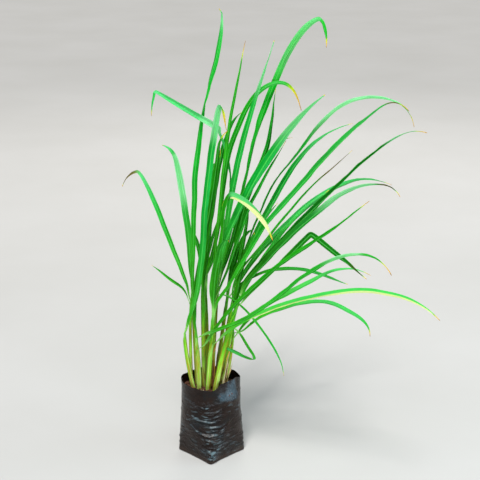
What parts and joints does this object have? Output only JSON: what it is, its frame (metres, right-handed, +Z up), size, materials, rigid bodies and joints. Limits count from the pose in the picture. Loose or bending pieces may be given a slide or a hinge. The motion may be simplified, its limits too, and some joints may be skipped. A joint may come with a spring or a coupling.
{
  "type": "lemongrass plant in a nursery bag",
  "caption": "Young lemongrass clump with long arching leaf blades, growing in soil in a square-based black nursery bag.",
  "frame": {"origin": "middle of the bag's flat underside, on the surface it stands on", "axes": "+Z up along the plant; +X to the side most of the blades arch towards; -Y to the front, where a corner of the bag's square base points"},
  "size_m": [0.3944, 0.4121, 0.6031],
  "materials": {
    "film": "satin",
    "soil": "matte",
    "leaf": "satin"
  },
  "bodies": {
    "root": {"bag": "film", "soil": "soil", "tiller_01": "leaf", "tiller_02": "leaf", "tiller_03": "leaf", "tiller_04": "leaf", "tiller_05": "leaf", "tiller_06": "leaf", "tiller_07": "leaf", "tiller_08": "leaf", "tiller_09": "leaf", "tiller_10": "leaf", "tiller_11": "leaf", "tiller_12": "leaf", "tiller_13": "leaf", "tiller_14": "leaf", "tiller_15": "leaf"}
  },
  "joints": []
}
